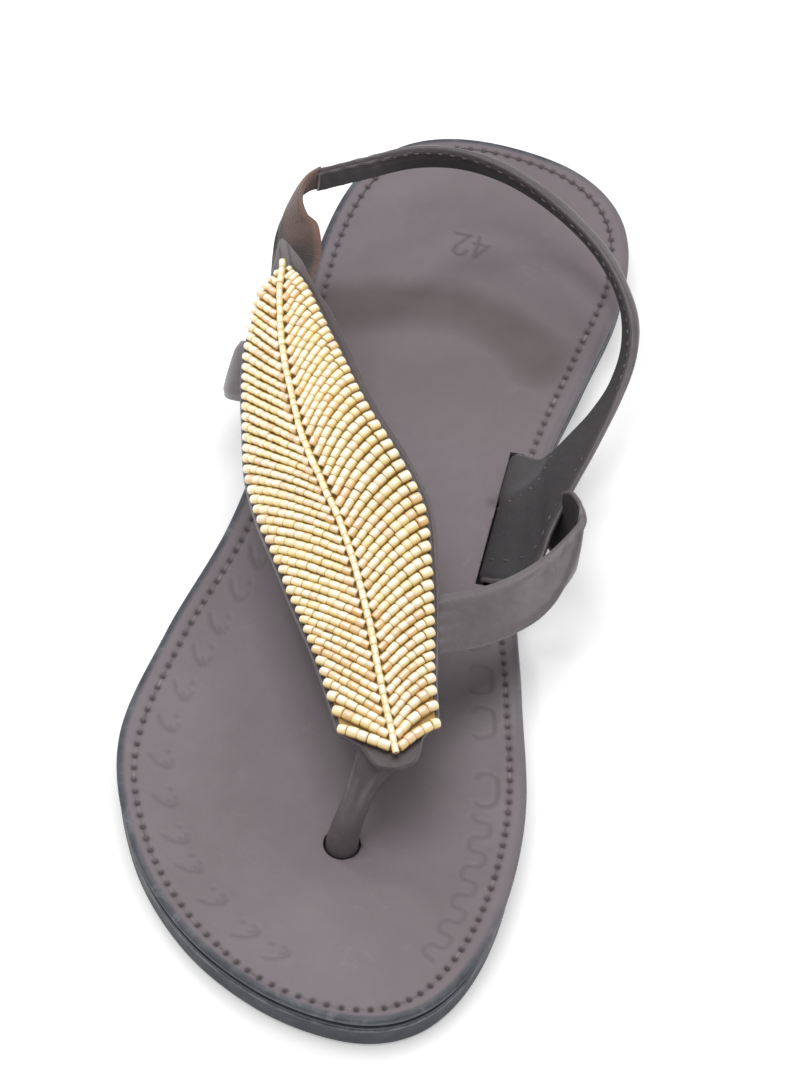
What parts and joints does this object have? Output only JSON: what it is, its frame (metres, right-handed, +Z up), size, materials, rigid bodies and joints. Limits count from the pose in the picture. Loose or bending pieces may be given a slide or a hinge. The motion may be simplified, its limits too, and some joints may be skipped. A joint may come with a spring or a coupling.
{
  "type": "backstrap sandal",
  "caption": "Flat leather sandal for the right foot, with a toe post, a beaded leaf over the instep, a side strap on each side and a sling strap round the heel.",
  "frame": {"origin": "on the floor, under the middle of the shoe's box", "axes": "+Z up, toe towards -Y, heel towards +Y, medial side (big toe) towards +X, lateral side towards -X"},
  "size_m": [0.1038, 0.2804, 0.0552],
  "materials": {
    "outsole_rubber": "matt blue-black moulded rubber, rubbed paler along its side",
    "midsole_board": "matt dark wedge board",
    "footbed_leather": "matt grey-brown vegetable-tanned leather, stitched and tooled, with a burnished edge",
    "strap_leather": "smooth dark brown leather with a dark lining, and a suede tab",
    "glass_beads": "gold, amber and pale lined glass beads in rows"
  },
  "bodies": {
    "root": {"outsole": "outsole_rubber", "midsole": "midsole_board", "footbed": "footbed_leather", "upper": "strap_leather", "bead_panel": "glass_beads"}
  },
  "joints": []
}
